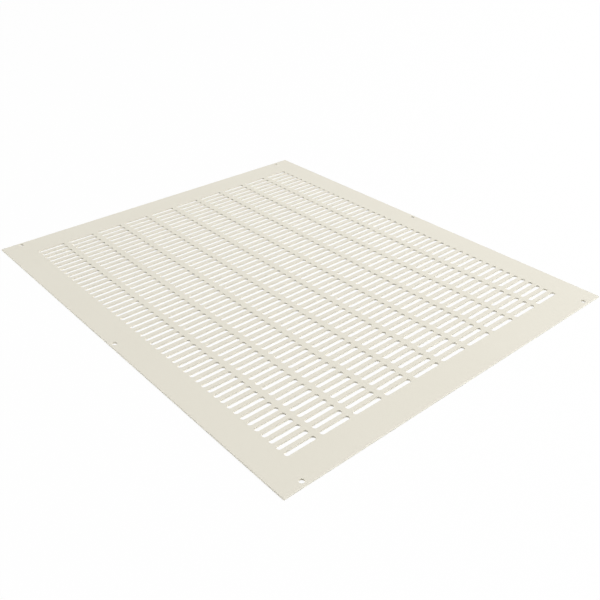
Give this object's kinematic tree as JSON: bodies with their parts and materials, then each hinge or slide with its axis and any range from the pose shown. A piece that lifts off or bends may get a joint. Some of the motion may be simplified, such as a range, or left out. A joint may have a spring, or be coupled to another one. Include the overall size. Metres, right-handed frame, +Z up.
{
  "type": "slotted ventilation panel",
  "caption": "Flat rectangular punched sheet-metal panel, painted cream, with a regular field of round-ended air slots and small round fixing holes round its border.",
  "frame": {"origin": "middle of the panel's underside, which lies on Z = 0", "axes": "+X across the panel, along its slots; +Y along its longer side; +Z up out of the visible face"},
  "size_m": [0.5, 0.593, 0.002],
  "materials": {
    "cream_paint": "satin cream powder coat with a fine even texture"
  },
  "bodies": {
    "root": {"slotted_panel": "cream_paint"}
  },
  "joints": []
}
